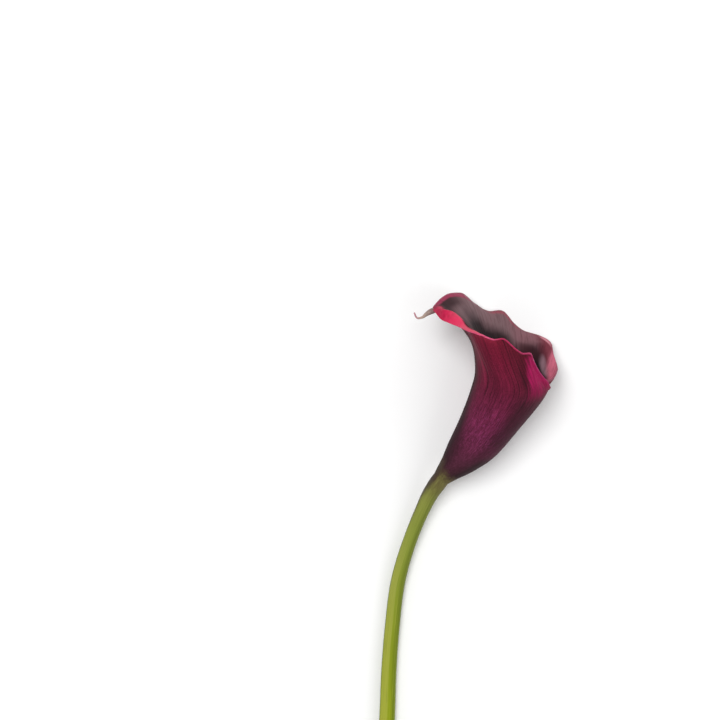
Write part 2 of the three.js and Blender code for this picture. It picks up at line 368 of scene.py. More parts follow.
spathe = {
    "rise": 12.8,  # degrees that the tube climbs
    "thick": 1.2,  # wall of the tube
    "marginThick": 0.7,
    "thinning": (3, 8.5),  # rows between which the wall thins to the margin's
    "marginRounding": 0.26,
    "layerStep": 1.75,  # from one layer to the next where the margins overlap
    "layerShares": (0.0, 0.7, 1.0, 1.0, 1.0, 1.0, 1.0),  # how much of it each section has
    "footInset": 0.15,  # the foot starts just under the stem's skin
    "columns": 340,
    "rows": 115,
    # back and front of each section seen from above, half its depth, height of its middle
    "sections": [
        ((-3.55, 2.5), (3.55, -2.5), 4.35, 12.6),
        ((-1.6, 6.1), (8.3, 0.8), 5.7, 13.5),
        ((0.9, 11.2), (17.0, 5.4), 8.4, 14.9),
        ((4.0, 18.8), (27.3, 12.8), 11.4, 17.4),
        ((9.5, 30.8), (38.9, 26.4), 14.0, 20.8),
        ((14.8, 45.3), (49.0, 38.8), 16.2, 24.0),
        ((16.9, 56.4), (52.6, 44.6), 17.8, 26.4),
    ],
    # degrees from the midrib, free edge and the crest that it rolls over, each as x, y, z
    "mouth": [
        (-202, 48.2, 47.6, 35.5, 48.6, 46.3, 34.8),
        (-190, 51.2, 48.6, 32.3, 51.0, 46.9, 31.6),
        (-180, 54.6, 50.0, 27.8, 53.6, 47.9, 27.3),
        (-171, 57.3, 52.3, 22.8, 55.7, 49.8, 22.7),
        (-160, 58.6, 56.2, 16.6, 56.7, 53.0, 17.7),
        (-146, 56.9, 63.4, 10, 54.6, 60.0, 11.6),
        (-136, 56.0, 68.5, 5.4, 53.2, 65.3, 7.2),
        (-131, 54.2, 70.3, 3.8, 51.9, 66.9, 5.7),
        (-124, 50.2, 72.3, 1.9, 48.5, 69.0, 3.7),
        (-113, 43.2, 74.6, 0.3, 42.6, 71.0, 1.2),
        (-98, 37.5, 78.7, 0.1, 37.4, 74.6, 0.3),
        (-84, 32.0, 84.8, 0.2, 32.3, 80.4, 0.4),
        (-68, 24.0, 84.8, 2.8, 25.4, 80.8, 3.8),
        (-52, 17.0, 88.5, 8, 19.2, 84.6, 8.6),
        (-37, 11.1, 93.4, 12, 14.0, 89.0, 12.8),
        (-24, 5.9, 93.5, 17, 9.4, 89.8, 17.5),
        (-14, 2.0, 92.3, 21.5, 5.7, 88.9, 21.8),
        (-6, -1.5, 89.5, 26, 2.7, 87.1, 26.0),
        (0, -4.3, 85.8, 30, 1.2, 85.8, 29.3),
        (6, -2.9, 83.5, 33, 0.9, 85.0, 32.3),
        (14, -0.5, 80.4, 36.5, 2.1, 84.6, 35.6),
        (26, 3.0, 78.6, 40, 5.7, 83.6, 39),
        (42, 8.5, 76.3, 44, 10.3, 79.8, 43),
        (56, 12.9, 74.2, 47, 14.2, 75.4, 46),
        (72, 18.9, 72.5, 50, 19.3, 71.7, 48.7),
        (90, 25.9, 70.1, 52, 26.3, 68.6, 50.3),
        (104, 30.5, 70.3, 53, 30.8, 68.4, 51.2),
        (117, 34.9, 66.8, 52, 35.1, 65.0, 50.2),
        (129, 39.5, 63.4, 50.5, 39.3, 61.6, 48.6),
        (140, 44.2, 63.0, 49, 43.2, 60.6, 47),
        (147, 45.3, 60.4, 46, 44.6, 58.3, 44.4),
        (163, 49.5, 53.2, 38.2, 49.0, 51.3, 37.2),
        (172, 53.0, 49.3, 33.0, 52.5, 47.7, 32.3),
        (181, 54.5, 46.7, 27.4, 54.0, 45.8, 27.1),
        (192, 54.0, 46.1, 22.5, 53.6, 45.7, 22.5),
        (205, 52.5, 46.6, 18.4, 52.2, 46.5, 18.6),
    ],
    # row, degrees round from the midrib on the far side and on the near side
    "spans": [
        (0, 181, 181),
        (1, 182, 183),
        (2, 187, 189),
        (4, 197, 202),
        (6, 198, 203),
        (7, 196, 201),
        (8, 194, 196),
        (9, 190, 190),
    ],
    "flareTuck": (5.3, 0.4, -1.5),  # draws the back of the throat in
    "tuckReach": 70.0,  # degrees from the midrib
    # veins on each side of the midrib, and their waves: height, pace across, along, start
    "veins": 27,
    "veinDepth": 0.06,
    "veinLeast": 0.1,  # strength that every groove keeps
    "grooveStart": (0.25, 0.6),  # shares of the way up between which the grooves set in
    "veinSway": [(0.5, 7.0, 1.0, 0.0), (0.36, 17.0, -1.5, 1.0), (0.21, 43.0, 4.0, 2.0)],
    "veinMean": 0.52,
    "veinSpread": [(0.3, 23.0, 2.0, 0.0), (0.34, 61.0, -5.0, 1.0)],
    # small waves along the margin, from where they set in, and how near to the midrib
    "frillStart": (0.87, 1.0),
    "frillGap": (0.02, 0.12),
    "frill": [(0.1, 31.0, 0.0, 1.0), (0.06, 73.0, 0.0, 0.0), (0.04, 119.0, 0.0, 2.0)],
    # thread at the tip: row, x, y, z, radius
    "tail": [
        (0, 1.6, 84.9, 29.4, 0.2),
        (1, -1.4, 85.1, 29.6, 0.9),
        (2, -4.6, 84.4, 30.0, 1.45),
        (3, -7.2, 83.0, 30.6, 1.1),
        (4, -9.4, 81.3, 31.2, 0.66),
        (5, -12.1, 81.0, 31.8, 0.46),
        (6, -13.6, 83.8, 32.0, 0.4),
    ],
    "tailColumns": 20,
    "tailRows": 90,
    "tailTip": 0.03,  # share of its length that is rounded off
}


def sectionFrame(section):
    back, front = np.array(section[0]), np.array(section[1])
    x, y = unit(front - back)
    rise = math.radians(spathe["rise"])
    across = np.array([x, y, 0.0])
    along = np.array([-y * math.cos(rise), x * math.cos(rise), math.sin(rise)])
    up = np.array([y * math.sin(rise), -x * math.sin(rise), math.cos(rise)])
    return across, along, up


def sectionMiddle(section):
    (bx, by), (fx, fy), _, height = section
    return np.array([(bx + fx) / 2, (by + fy) / 2, height])


def onSection(section, degrees, swell):
    across, _, up = sectionFrame(section)
    (bx, by), (fx, fy), depth, _ = section
    half = math.hypot(fx - bx, fy - by) / 2
    a = np.radians(degrees)[:, None]
    swell = swell[:, None]
    out = up * np.sin(a) * (depth + swell) - across * np.cos(a) * (half + swell)
    return sectionMiddle(section) + out


def leafPoints(turn, place):
    # turn goes from the far margin (-1) over the midrib to the near one (1),
    # and place counts the rows from the foot to the free edge
    spans = throughRows(spathe["spans"], place)
    v = turn * np.where(turn < 0, spans[:, 0], spans[:, 1])
    layer = spathe["layerStep"] * v / 360
    swells = [share * layer - spathe["thick"] / 2 for share in spathe["layerShares"]]
    swells[0] = swells[0] - spathe["footInset"]
    stack = [onSection(section, v, swell) for section, swell in zip(spathe["sections"], swells)]
    mouth = throughRows(spathe["mouth"], v)
    edge, crest = mouth[:, :3], mouth[:, 3:]
    tuck = 1 - blendIn(np.abs(v), 0, spathe["tuckReach"])
    flare = (stack[-1] + crest) / 2 + tuck[:, None] * np.array(spathe["flareTuck"])
    stack = np.array([*stack, flare, crest, edge])
    slopes = np.empty_like(stack)
    slopes[1:-1] = (stack[2:] - stack[:-2]) / 2
    slopes[0], slopes[-1] = stack[1] - stack[0], stack[-1] - stack[-2]
    i = np.clip(place.astype(int), 0, len(stack) - 2)
    t = (place - i)[:, None]
    n = np.arange(len(place))
    return curveBetween(t, stack[i, n], slopes[i, n], stack[i + 1, n], slopes[i + 1, n])


def veinPhase(turn, w):
    # the veins run from foot to margin, unevenly spaced and a little wavy
    return (turn * spathe["veins"] + waves(spathe["veinSway"], turn, w)) * math.tau


def veinStrength(turn, w):
    # some veins are deep and some hardly show
    return spathe["veinMean"] + waves(spathe["veinSpread"], turn, w)


def leafRelief(turn, w):
    # height of the veins' grooves and of the margin's small waves
    grooves = wave(veinPhase(turn, w) + math.pi / 2) * blendIn(w, *spathe["grooveStart"])
    grooves = grooves * np.clip(veinStrength(turn, w), spathe["veinLeast"], 1)
    frill = waves(spathe["frill"], turn, w) * blendIn(w, *spathe["frillStart"])
    frill = frill * blendIn(np.abs(turn), *spathe["frillGap"])
    return frill - spathe["veinDepth"] * grooves


def thickenLeaf(piece, weights):
    # gives the sheet a wall that thins towards the margin, and rounds the margin
    thin = piece.vertex_groups.new(name="thickness")
    for index, weight in enumerate(weights):
        thin.add([index], float(weight), "REPLACE")
    wall = piece.modifiers.new("wall", "SOLIDIFY")
    wall.thickness = spathe["thick"] * mm
    wall.offset = 0
    wall.vertex_group = "thickness"
    wall.thickness_vertex_group = 0
    wall.material_offset = 1
    wall.material_offset_rim = 2
    rounding = piece.modifiers.new("rounding", "BEVEL")
    rounding.width = spathe["marginRounding"] * mm
    rounding.segments = 3
    rounding.limit_method = "ANGLE"
    rounding.angle_limit = math.radians(60)
    pick(piece)
    bpy.ops.object.modifier_apply(modifier="wall")
    bpy.ops.object.modifier_apply(modifier="rounding")


def buildLeaf(outside, inside, margin):
    piece, shares = addGrid("spatheLeaf", spathe["columns"], spathe["rows"])
    cover(piece, outside, inside, margin)
    piece.data.uv_layers[0].name = "leafMap"
    turn, w = shares[:, 0] * 2 - 1, shares[:, 1]
    place = w * (len(spathe["sections"]) + 2)  # flare, crest and edge come on top
    points = leafPoints(turn, place)
    movePoints(piece, toFrame(points))
    outward = np.array([vertex.normal for vertex in piece.data.vertices])
    points += outward * leafRelief(turn, w)[:, None]
    least = spathe["marginThick"] / spathe["thick"]
    weights = 1 - (1 - least) * blendIn(place, *spathe["thinning"])
    # pressed flat where it lies on the floor
    points[:, 2] = np.maximum(points[:, 2], weights * spathe["thick"] / 2)
    movePoints(piece, toFrame(points))
    thickenLeaf(piece, weights)
    points = readPoints(piece)
    points[:, 2] = np.maximum(points[:, 2], 0)
    movePoints(piece, points)
    smooth(piece)
    return piece


stemLook = {
    # from the cut end to the foot
    "skin": [
        (0.0, "#929e06"),
        (0.3, "#8b980a"),
        (0.6, "#818e1e"),
        (0.85, "#808b36"),
        (1.0, "#7c7e3e"),
    ],
    "pale": [(0.0, "#adad3a"), (0.5, "#a9ab46"), (1.0, "#969a50")],
    "deep": [(0.0, "#5f7202"), (0.5, "#5f700c"), (1.0, "#5a6420")],
    # dark green of the painted shade on both sides, also the colour of the dark fibres
    "edge": "#45521a",
    # slate grey of the painted shade down the left flank
    "shadeSlate": "#3f4a2c",
    "top": "#7c7e3e",
    "purple": [(0.3, "#33202a"), (0.7, "#42283a")],
    # cut face
    "pith": ("#b9c48a", "#d6dcae"),
    "bundles": "#8d9a55",
    "ring": "#71802c",
}

# what the foot of the spathe and the top of the stem share, so that one runs into the other
foot = {
    "olive": [(0.25, "#544a2e"), (0.5, "#665f36"), (0.75, "#767340")],
    "brown": "#44312a",
    # slate grey of the painted shade at the foot's left edge
    "shadeSlate": "#383a32",
    # colour of the painted shadow on the left flank
    "flank": "#3c332e",
    "reach": 5.6,  # how far past the foot the olive goes
    "stretch": 0.9,  # how far its fibres are drawn out along the stem
}


def footShares(paint):
    # millimetres past the foot along the stem, and across it towards the front
    across, along, _ = sectionFrame(spathe["sections"][0])
    middle = tuple(sectionMiddle(spathe["sections"][0]))
    shifted = paint.vector("SUBTRACT", paint.place(), middle)
    return paint.dot(shifted, along), paint.dot(shifted, across)


def footStreak(paint, across=1.1):
    # long fibres in line with the axis where the stem meets the spathe
    _, along, _ = sectionFrame(spathe["sections"][0])
    where = paint.place()
    shrink = {0: tuple(along), 3: paint.dot(where, along) * -foot["stretch"]}
    back = paint.add("ShaderNodeVectorMath", {"operation": "SCALE"}, shrink)
    return paint.noise(paint.vector("ADD", where, back), across, 3.0, 0.6)


def footBlend(paint, green, purple):
    # ragged change from the stem's green over olive and brown to the spathe's purple
    past, side = footShares(paint)
    streak = footStreak(paint)
    mottle = paint.noise(paint.place(), 0.7, 3.0, 0.6)
    olive = paint.ramp(footStreak(paint, 2.2), foot["olive"])
    flank = side + (streak - 0.5) * 3.0
    olive = paint.mix(paint.rise(flank, -0.8, -2.8) * 0.85, olive, foot["brown"])
    # painted shade, slate grey at the far left edge of the foot
    olive = paint.mix(paint.rise(side, -3.7, -4.4) * 0.45, olive, foot["shadeSlate"])
    edge = past - foot["reach"] + (streak - 0.5) * 3.4 + (mottle - 0.5) * 5.0
    edge = edge + paint.rise(side, 0.2, 3.0, 0.0, 1.4) - paint.rise(side, -1.4, -4.0, 0.0, 4.0)
    colour = paint.mix(paint.rise(past, -15.0, 0.0), green, olive)
    # painted shadow down the left flank, before the foot
    shadow = paint.rise(flank, -1.6, -3.8) * paint.rise(past, -24.0, -3.0)
    colour = paint.mix(shadow * 0.6, colour, foot["flank"])
    colour = paint.mix(paint.rise(edge, -5.5, 1.0) * 0.75, colour, foot["brown"])
    return paint.mix(paint.rise(edge, -2.4, 3.6), colour, purple)


# ramps go from the foot (0) to the margin (1)
outsideLook = {
    "base": [
        (0.00, "#3a2428"),
        (0.14, "#3e1f2a"),
        (0.28, "#4c2032"),
        (0.45, "#601e3a"),
        (0.62, "#5e162f"),
        (0.78, "#64122b"),
        (0.93, "#70162b"),
        (1.00, "#82203a"),
    ],
    "light": [
        (0.15, "#6c4450"),
        (0.40, "#94386a"),
        (0.62, "#90284a"),
        (0.90, "#9c2442"),
    ],
    "furrows": "#260c18",
    # colour of the painted violet highlight
    "glintHighlight": "#984884",
    "veins": "#260812",
    "grit": "#240c14",
    # colour of the painted shade on the flanks
    "flankShade": "#241216",
    # colours of the painted light on the lip and the painted shade in the crease
    "lip": "#a82c48",
    "creaseShade": "#340c18",
    # magenta of the near margin, partly painted light
    "patch": ("#9c1450", "#b81a60"),
    # colour of the painted shade line beside the magenta
    "foldShade": "#2c0814",
}
insideLook = {
    # near black deep in the tube, partly painted shade in the throat
    "base": [
        (0.00, "#0c0507"),
        (0.72, "#120709"),
        (0.80, "#1c0d11"),
        (0.85, "#3a2027"),
        (0.90, "#5a353d"),
        (1.00, "#6a3844"),
    ],
    # colours of the painted grey sheen on the far wall
    "bloom": ("#866a6e", "#946870"),
    "shade": "#2c1218",
    # soft patches on the far wall, painted shade in the dark ones and painted sheen in the pale
    # one: turn, share of the way up, half sizes, strength, colour
    "patches": [
        (-0.69, 0.865, 0.055, 0.065, 0.85, "#4e1c28"),
        (-0.735, 0.805, 0.08, 0.06, 0.75, "#a07a86"),
        (-0.6, 0.815, 0.11, 0.05, 0.72, "#36121a"),
    ],
    "tip": "#963050",
    # pink at the front, partly the margin's own colour and partly painted highlight
    "flushAndHighlight": ("#7a3240", "#d46c84"),
    "ruddy": "#a04454",
    "highlight": [(-0.69, 0.985, 0.05, 0.035, 0.6, "#f0a4b0")],
    "furrows": "#1c0c12",
    "veins": "#2a1018",
    # where the near margin rolls over
    "roll": [(0.3, "#b01440"), (0.5, "#c81848"), (0.7, "#d42c58")],
    "rollPale": "#d86a7a",
    "rollGlow": "#e41e58",
    "rollDark": "#8c1c3c",
}
marginLook = {
    # from the far end over the tip to the near end; the pale stops near 0.72 and 0.865 are
    # painted highlight where the rim catches the light
    "edge": [
        (0.00, "#7a3448"),
        (0.10, "#a0586a"),
        (0.20, "#7c4450"),
        (0.36, "#7a4650"),
        (0.42, "#8c4056"),
        (0.49, "#a04a5e"),
        (0.53, "#c02848"),
        (0.62, "#d04068"),
        (0.72, "#d8567e"),
        (0.755, "#b42654"),
        (0.82, "#a82250"),
        (0.865, "#b43a68"),
        (0.91, "#b04474"),
        (1.00, "#7c2048"),
    ],
    "mottle": "#6a1c34",
}


def leafShares(paint):
    u, w = paint.ownMap("leafMap")
    return u * 2.0 - 1.0, w


def streaks(paint, turn, w, across, along):
    # long lines near the margin, short ones near the foot
    reach = w + paint.rise(w, 0.1, 0.62, 0.0, 1.6)
    return paint.noise(paint.point(turn * across, reach * along), 1.0, 3.0, 0.6)


def veinMask(paint, turn, w, low):
    lines = paint.rise(wave(veinPhase(turn, w) + math.pi / 2), low, 1.0)
    broken = paint.rise(streaks(paint, turn, w, 30.0, 2.5), 0.3, 0.55, 0.4, 1.0)
    return lines * paint.rise(veinStrength(turn, w), 0.0, 0.9) * broken


def addPatches(paint, colour, turn, w, rows):
    for middle, height, width, reach, strength, shade in rows:
        mask = paint.spot(turn, w, (middle, height), (width, reach))
        colour = paint.mix(mask * strength, colour, shade)
    return colour


def marginColour(paint, turn):
    return paint.ramp(turn * 0.5 + 0.5, marginLook["edge"])


def paintedFlankShade(paint, turn, w):
    # painted shade on the flanks: darker along the midrib at the back, where the margins
    # overlap at the front, and low down at the front
    side = abs(turn)
    back = paint.rise(side + paint.rise(w, 0.3, 0.55) * 0.2, 0.4, 0.22)
    back = back + paint.rise(side, 0.22, 0.1) * 0.3
    overlap = paint.rise(side, 0.44, 0.6) * paint.rise(w, 0.5, 0.75, 1.0, 0.5)
    overlap = overlap * paint.rise(w, 0.34, 0.42, 0.6, 1.0)
    low = paint.rise(side, 0.58, 0.68) * paint.rise(w, 0.34, 0.28) * 0.6
    return back + overlap + low


def addMagenta(paint, colour, turn, w, fine, thread, cloud, veins):
    # magenta along the near margin, partly its own colour and partly painted light where the
    # thin margin is lit through, with a line of painted shade beside it along a fold
    reach = turn - (w - 0.7) * 0.45 + (fine - 0.5) * 0.09 + (cloud - 0.5) * 0.04
    foldShadeLine = paint.band(reach, 0.52, 0.58, 0.59, 0.63) * paint.rise(w, 0.62, 0.72)
    colour = paint.mix(foldShadeLine * 0.36, colour, outsideLook["foldShade"])
    patch = paint.rise(reach, 0.592, 0.64) * paint.rise(reach, 0.7, 0.88, 1.0, 0.3)
    patch = patch * paint.rise(w, 0.54, 0.8)
    patch = patch * paint.rise(fine, 0.3, 0.6, 0.5, 1.0) * (1.0 - veins * 0.55)
    magenta = paint.mix(paint.rise(thread, 0.42, 0.62), *outsideLook["patch"])
    return paint.mix(patch * 0.88, colour, magenta)


def outsidePaint():
    paint = Paint("spatheOutside", {"Specular IOR Level": 0.08})
    turn, w = leafShares(paint)
    where = paint.place()
    x, y, _ = paint.split(where)
    cloud = paint.noise(where, 0.09, 2.0)
    grit = paint.noise(where, 1.7, 2.0)
    broad = streaks(paint, turn, w, 20.0, 1.2)
    fine = streaks(paint, turn, w, 120.0, 5.0)
    thread = streaks(paint, turn, w, 230.0, 14.0)
    veins = veinMask(paint, turn, w, 0.62) * paint.rise(w, 0.38, 0.6)
    # pale and dark streaks over the ground colour
    colour = paint.ramp(w, outsideLook["base"])
    light = paint.ramp(w, outsideLook["light"])
    pale = paint.rise(fine, 0.48, 0.7) * paint.rise(broad, 0.3, 0.65, 0.35, 1.0)
    colour = paint.mix(pale * paint.rise(w, 0.16, 0.4) * 0.62, colour, light)
    threads = paint.rise(thread, 0.5, 0.7) * paint.rise(w, 0.1, 0.3, 0.15, 0.36)
    colour = paint.mix(threads, colour, light)
    colour = paint.mix(paint.rise(fine, 0.5, 0.3) * 0.5, colour, outsideLook["furrows"])
    # painted highlight: violet glints where the tube is widest
    glow = paint.spot(x, y, (22.0, 25.0), (13.0, 15.0)) * paint.rise(thread, 0.52, 0.72)
    colour = paint.mix(glow * 0.4, colour, outsideLook["glintHighlight"])
    colour = paint.mix(veins * 0.76, colour, outsideLook["veins"])
    colour = paint.mix(paint.rise(grit, 0.5, 0.72) * 0.3, colour, outsideLook["grit"])
    colour = paint.mix(paint.rise(grit, 0.48, 0.28) * 0.26, colour, light)
    # painted shade down the flanks of the tube
    colour = paint.mix(paintedFlankShade(paint, turn, w) * 0.7, colour, outsideLook["flankShade"])
    # painted light on the lit lip, and painted shade in the crease that runs down from it
    lip = paint.rise(w, 0.85, 0.93) * paint.band(turn, 0.26, 0.34, 0.42, 0.5)
    colour = paint.mix(lip * 0.55, colour, outsideLook["lip"])
    creaseShade = paint.band(turn, 0.26, 0.33, 0.35, 0.4) * paint.band(w, 0.46, 0.6, 0.8, 0.86)
    colour = paint.mix(creaseShade * broad * 0.5, colour, outsideLook["creaseShade"])
    colour = addMagenta(paint, colour, turn, w, fine, thread, cloud, veins)
    edge = w + (cloud - 0.5) * 0.02 + (fine - 0.5) * 0.012
    edge = edge + paint.rise(turn, 0.2, 0.3) * paint.rise(turn, 0.5, 0.62, 0.012, 0.004)
    colour = paint.mix(paint.rise(edge, 0.965, 0.99) * 0.8, colour, marginColour(paint, turn))
    colour = footBlend(paint, stemLook["top"], colour)
    paint.feed("Base Color", colour)
    paint.feed("Roughness", 0.5 + fine * 0.2)
    relief = fine * 0.6 - veins * 0.5 + grit * 0.35
    paint.feed("Normal", paint.bump(relief, 0.00012, 0.6))
    return paint.material


def addSheenAndShade(paint, colour, turn, w, edge):
    # painted grey sheen in a band along the far wall, and painted shade in dark hollows round
    # it
    low = paint.rise(turn, -0.52, -0.64, 0.0, 0.045) - paint.rise(turn, -0.34, -0.44, 0.0, 0.02)
    low = low - paint.rise(turn, -0.12, -0.07, 0.0, 0.025)
    bloom = paint.rise(edge - low, 0.8, 0.875) * paint.rise(turn, -0.7, -0.62)
    bloom = bloom * paint.rise(turn, -0.07, -0.02, 1.0, 0.15)
    grey = paint.mix(paint.rise(turn, -0.4, -0.58), *insideLook["bloom"])
    colour = paint.mix(bloom * 0.66, colour, grey)
    shade = paint.rise(turn, -0.2, -0.06) * paint.rise(w, 0.85, 0.885)
    colour = paint.mix(shade * 0.9, colour, insideLook["shade"])
    return addPatches(paint, colour, turn, w, insideLook["patches"])


def addFlushAndHighlights(paint, colour, turn, w, edge, fine):
    # the margin flushes pink at the tip; at the front the pink is partly painted highlight, and
    # a painted highlight sits on the corner
    start = edge - paint.rise(turn, -0.13, -0.06, 0.0, 0.015)
    tip = paint.band(turn, -0.3, -0.13, -0.02, 0.02) * paint.rise(start, 0.902, 0.924)
    colour = paint.mix(tip * 0.9, colour, insideLook["tip"])
    front = paint.rise(turn, -0.6, -0.7) * paint.rise(edge - turn * 0.8, 1.37, 1.49)
    flushAndHighlight = paint.mix(paint.rise(turn, -0.728, -0.778), *insideLook["flushAndHighlight"])
    colour = paint.mix(front * 0.85, colour, flushAndHighlight)
    ruddy = paint.spot(turn, w, (-0.45, 0.975), (0.13, 0.05))
    ruddy = ruddy * paint.rise(fine, 0.3, 0.6, 0.3, 0.7)
    colour = paint.mix(ruddy, colour, insideLook["ruddy"])
    return addPatches(paint, colour, turn, w, insideLook["highlight"])


def addRoll(paint, colour, turn, edge, where):
    # vivid where the near margin rolls over
    x, y, _ = paint.split(where)
    vivid = paint.ramp(paint.noise(where, 0.5, 3.0, 0.65), insideLook["roll"])
    vivid = paint.mix(paint.rise(turn, 0.1, 0.24) * 0.6, vivid, insideLook["rollPale"])
    glow = paint.spot(x, y, (7.5, 79.0), (6.0, 4.0))
    vivid = paint.mix(glow * 0.6, vivid, insideLook["rollGlow"])
    vivid = paint.mix(paint.rise(x, 4.0, -2.0) * 0.5, vivid, insideLook["rollDark"])
    start = edge - paint.rise(turn, 0.19, 0.28, 0.0, 0.04)
    near = paint.band(turn, -0.01, 0.02, 0.36, 0.52) * paint.rise(start, 0.875, 0.91)
    return paint.mix(near * 0.95, colour, vivid)


def insidePaint():
    paint = Paint("spatheInside", {"Specular IOR Level": 0.12})
    turn, w = leafShares(paint)
    where = paint.place()
    cloud = paint.noise(where, 0.12, 2.0)
    fine = streaks(paint, turn, w, 100.0, 9.0)
    veins = veinMask(paint, turn, w, 0.6) * paint.rise(w, 0.7, 0.85)
    edge = w + ((cloud - 0.5) * 0.04 + (fine - 0.5) * 0.012)
    colour = paint.ramp(edge, insideLook["base"])
    colour = addSheenAndShade(paint, colour, turn, w, edge)
    colour = addFlushAndHighlights(paint, colour, turn, w, edge, fine)
    colour = paint.mix(paint.rise(fine, 0.5, 0.3) * 0.3, colour, insideLook["furrows"])
    colour = paint.mix(veins * 0.22, colour, insideLook["veins"])
    colour = addRoll(paint, colour, turn, edge, where)
    colour = paint.mix(paint.rise(edge, 0.972, 0.997) * 0.5, colour, marginColour(paint, turn))
    paint.feed("Base Color", colour)
    paint.feed("Roughness", 0.38 + fine * 0.14)
    paint.feed("Normal", paint.bump(fine * 0.6 - veins * 0.4, 0.0001, 0.5))
    return paint.material


def marginPaint():
    paint = Paint("spatheMargin", {"Roughness": 0.45, "Specular IOR Level": 0.2})
    turn, _ = leafShares(paint)
    mottle = paint.rise(paint.noise(paint.place(), 0.8, 3.0), 0.4, 0.7)
    colour = paint.mix(mottle * 0.35, marginColour(paint, turn), marginLook["mottle"])
    paint.feed("Base Color", footBlend(paint, stemLook["top"], colour))
    return paint.material


leaf = buildLeaf(outsidePaint(), insidePaint(), marginPaint())
stand(leaf, "spathe")
print("spathe leaf is built:", len(leaf.data.polygons), "faces")


# tubes: the tail of the spathe, the spadix and the stem

seamGap = 0.004 * mm  # points nearer than this become one


def tubePoints(around, path, along, radius):
    # points round a path: around is the share of a turn, from the lowest point
    side = unit(np.cross(along, np.array([0.0, 0.0, 1.0])))
    up = np.cross(side, along)
    a = around * math.tau
    return path + side * (np.sin(a) * radius)[:, None] - up * (np.cos(a) * radius)[:, None]


def roundedTip(share, last):
    # radius share that closes a tube roundly over the last share of its length
    into = np.clip(1 - (1 - share) / last, 0, 1)
    return np.sqrt(np.maximum(1 - into**2, 0))


def closeTube(piece):
    # joins the long seam, and closes each end that isn't drawn together in a point
    pick(piece)
    bpy.ops.object.mode_set(mode="EDIT")
    bpy.ops.mesh.select_mode(type="EDGE")
    bpy.ops.mesh.select_all(action="SELECT")
    bpy.ops.mesh.remove_doubles(threshold=seamGap)
    bpy.ops.mesh.select_all(action="DESELECT")
    bpy.ops.mesh.select_non_manifold()
    bpy.ops.mesh.edge_face_add()
    bpy.ops.mesh.select_all(action="SELECT")
    bpy.ops.mesh.normals_make_consistent(inside=False)
    bpy.ops.object.mode_set(mode="OBJECT")
    smooth(piece)


def buildTail():
    piece, shares = addGrid("spatheTail", spathe["tailColumns"], spathe["tailRows"])
    rows = spathe["tail"]
    last = rows[-1][0]
    reach = shares[:, 1] * last
    table = throughRows(rows, reach)
    step = 0.03
    ahead = throughRows(rows, np.minimum(reach + step, last))[:, :3]
    behind = throughRows(rows, np.maximum(reach - step, 0))[:, :3]
    radius = table[:, 3] * roundedTip(shares[:, 1], spathe["tailTip"])
    points = tubePoints(shares[:, 0], table[:, :3], unit(ahead - behind), radius)
    movePoints(piece, toFrame(points))
    closeTube(piece)
    return piece


tailLook = {
    # from the thin end to the mouth
    "along": [
        (0.0, "#b07084"),
        (0.16, "#ac9484"),
        (0.45, "#8a766e"),
        (0.75, "#705054"),
        (0.95, "#5c2036"),
    ],
    "mottle": "#b89c8c",
}


def tailPaint():
    paint = Paint("spatheTail", {"Roughness": 0.5})
    where = paint.place()
    x, _, _ = paint.split(where)
    colour = paint.ramp(paint.rise(x, -14.0, 1.0), tailLook["along"])
    mottle = paint.rise(paint.noise(where, 1.2, 3.0), 0.35, 0.7)
    paint.feed("Base Color", paint.mix(mottle * 0.4, colour, tailLook["mottle"]))
    return paint.material


tail = buildTail()
cover(tail, tailPaint())
stand(tail, "spathe")
print("tail is built:", len(tail.data.polygons), "faces")


spadix = {
    "length": 38.0,
    # share of the length, radius
    "outline": [(0, 2.0), (0.3, 2.85), (0.6, 2.85), (1, 2.35)],
    "tip": 0.12,  # share of the length that is rounded off
    "columns": 24,
    "rows": 60,
    "florets": 640,
    "floretSize": 0.62,
    "floretHeight": 0.9,  # against its width
    "sizeSpread": 0.12,
    "sizePace": 2.4,  # the larger it is, the more neighbours differ
    "tipSize": 0.75,  # of the last florets, against the others
    "tipLean": 1.2,  # how far they turn towards the tip
    "crowding": 0.97,  # under 1 the florets stand closer at the tip
    "spiral": 0.381966,  # share of a turn from one floret to the next
    "greenShare": 0.34,  # at the foot, where the florets are green
    "greenSwell": 1.12,  # and larger
    # from the foot to the tip
    "colours": [
        (0.0, "#98a04c"),
        (0.26, "#a89c54"),
        (0.38, "#c08a70"),
        (0.7, "#bc746c"),
        (1.0, "#a85a5c"),
    ],
    "grain": "#d8b08c",
}


def spadixLine(distance):
    # middle line of the tube, by its length from the foot
    middles = np.array([sectionMiddle(section) for section in spathe["sections"]])
    steps = np.linalg.norm(np.diff(middles, axis=0), axis=1)
    lengths = np.concatenate([[0.0], np.cumsum(steps)])
    return throughRows(np.column_stack([lengths, middles]), distance)


def spadixSkin(around, share):
    # points on the smooth spike, with the line inside it, its direction and how far it closes
    d = share * spadix["length"]
    path = spadixLine(d)
    along = unit(spadixLine(d + 0.5) - spadixLine(np.maximum(d - 0.5, 0)))
    closing = roundedTip(share, spadix["tip"])
    radius = throughRows(spadix["outline"], share)[:, 0] * closing
    return tubePoints(around, path, along, radius), path, along, closing


